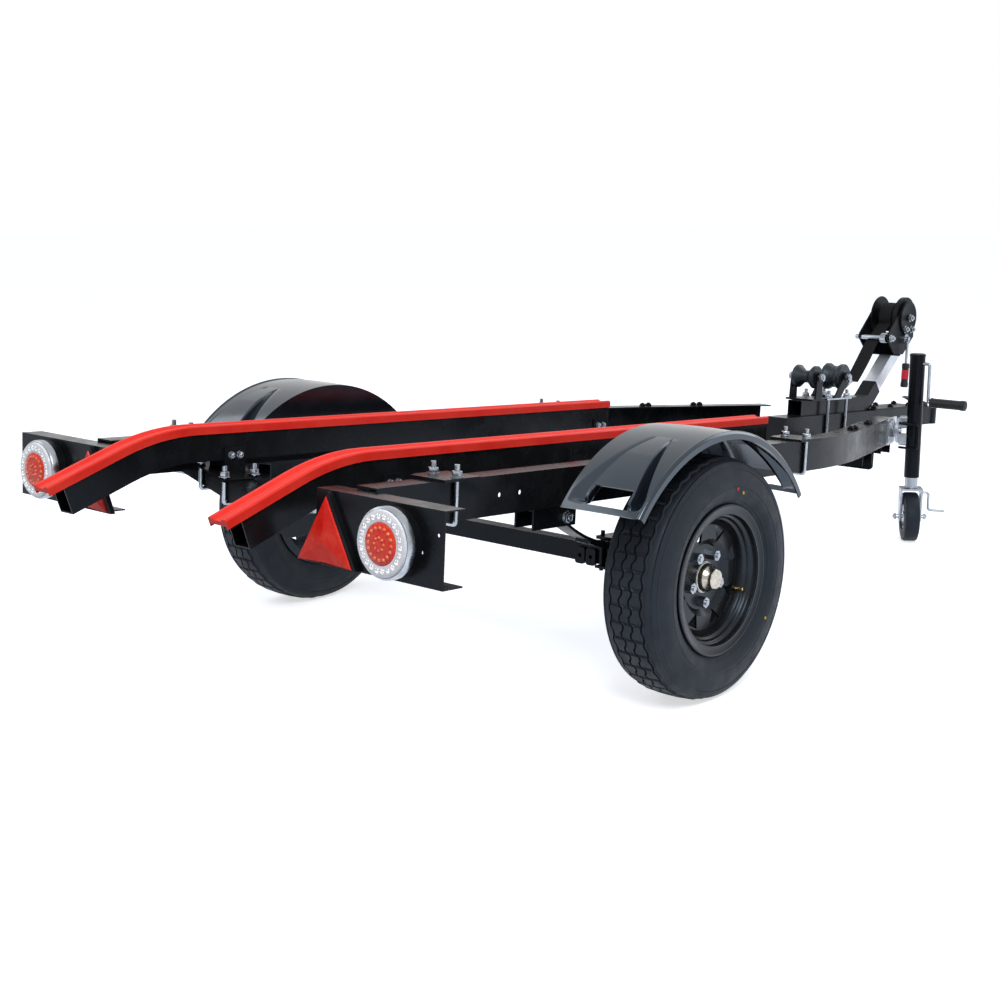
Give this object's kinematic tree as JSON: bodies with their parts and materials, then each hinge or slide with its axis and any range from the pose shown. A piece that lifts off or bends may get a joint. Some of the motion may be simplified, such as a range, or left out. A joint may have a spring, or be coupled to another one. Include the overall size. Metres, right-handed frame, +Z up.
{
  "type": "boat trailer",
  "caption": "Small single-axle boat trailer in black painted steel with red bunk strips, black fenders, winch post, coupler and swing-up jockey wheel.",
  "frame": {"origin": "on the ground under the middle of the whole trailer as it is parked on its jockey wheel", "axes": "+X to the trailer's right, +Y towards the coupler, +Z up"},
  "size_m": [1.48, 3.5892, 0.7611],
  "materials": {
    "black_paint": "gloss black paint",
    "zinc": "bright zinc plate",
    "roller": "moulded roller",
    "red_plastic": "ribbed bunk strip",
    "black_plastic": "moulded gloss fender",
    "jockey_tread": "solid tyre",
    "lamp": "round lamp",
    "red_reflector": "moulded reflector",
    "tyre": "rubber",
    "webbing": "woven strap"
  },
  "bodies": {
    "chassis": {"axle": "black_paint", "bow_bracket": "black_paint", "bow_hook": "zinc", "bunk_beam_left": "black_paint", "bunk_beam_right": "black_paint", "bunk_brackets": "black_paint", "bunk_strip_left": "red_plastic", "bunk_strip_right": "red_plastic", "coupler": "black_paint", "coupler_lever": "black_paint", "crossmember_front": "black_paint", "crossmember_rear": "black_paint", "drawbar": "black_paint", "drawbar_crossmember": "black_paint", "fender_left": "black_plastic", "fender_right": "black_plastic", "fender_stays": "zinc", "jockey_clamp": "zinc", "keel_bracket": "black_paint", "lamp_left": "lamp", "lamp_right": "lamp", "light_board_left": "black_paint", "light_board_right": "black_paint", "nose_crossmember": "black_paint", "rail_left": "black_paint", "rail_right": "black_paint", "spring_clamps": "black_paint", "spring_hangers": "black_paint", "spring_left": "black_paint", "spring_right": "black_paint", "stand_plate": "zinc", "triangle_left": "red_reflector", "triangle_right": "red_reflector", "u_bolts": "zinc", "winch_crank": "black_paint", "winch_drum": "black_paint", "winch_frame": "black_paint", "winch_post": "zinc", "winch_stand": "black_paint", "winch_strap": "webbing"},
    "wheel_right": {"hub_right": "zinc", "rim_right": "black_paint", "tyre_right": "tyre"},
    "wheel_left": {"hub_left": "zinc", "rim_left": "black_paint", "tyre_left": "tyre"},
    "keel_roller": {"keel_roller": "roller"},
    "bow_roller": {"bow_roller": "roller"},
    "jockey_stand": {"jockey_tube": "black_paint", "jockey_swivel": "zinc", "jockey_loop": "black_paint", "jockey_crank": "black_paint"},
    "jockey_leg": {"jockey_leg": "zinc"},
    "jockey_fork": {"jockey_fork": "zinc"},
    "jockey_wheel": {"jockey_wheel": "jockey_tread"}
  },
  "joints": [
    {"name": "wheel_right_spin", "type": "hinge", "parent": "chassis", "child": "wheel_right", "pos_m": [0.655, -0.71315, 0.275], "axis": [1, 0, 0], "continuous": true},
    {"name": "wheel_left_spin", "type": "hinge", "parent": "chassis", "child": "wheel_left", "pos_m": [-0.655, -0.71315, 0.275], "axis": [1, 0, 0], "continuous": true},
    {"name": "keel_roller_spin", "type": "hinge", "parent": "chassis", "child": "keel_roller", "pos_m": [0, 0.87844, 0.53092], "axis": [1, 0, 0], "continuous": true},
    {"name": "bow_roller_spin", "type": "hinge", "parent": "chassis", "child": "bow_roller", "pos_m": [0, 1.06573, 0.51393], "axis": [1, 0, 0], "continuous": true},
    {"name": "jockey_swing", "type": "hinge", "parent": "chassis", "child": "jockey_stand", "pos_m": [0.24238, 1.01705, 0.36323], "axis": [0.9563, 0.2918, -0.0187], "range_deg": [0, 90]},
    {"name": "jockey_extend", "type": "slide", "parent": "jockey_stand", "child": "jockey_leg", "axis": [0, 0, -1], "range_m": [0, 0.15]},
    {"name": "jockey_swivel", "type": "hinge", "parent": "jockey_leg", "child": "jockey_fork", "pos_m": [0.30836, 1.03719, 0.173], "axis": [0, 0, 1], "continuous": true},
    {"name": "jockey_wheel_spin", "type": "hinge", "parent": "jockey_fork", "child": "jockey_wheel", "pos_m": [0.30836, 1.03719, 0.08], "axis": [0.8192, 0.5736, 0], "continuous": true}
  ]
}
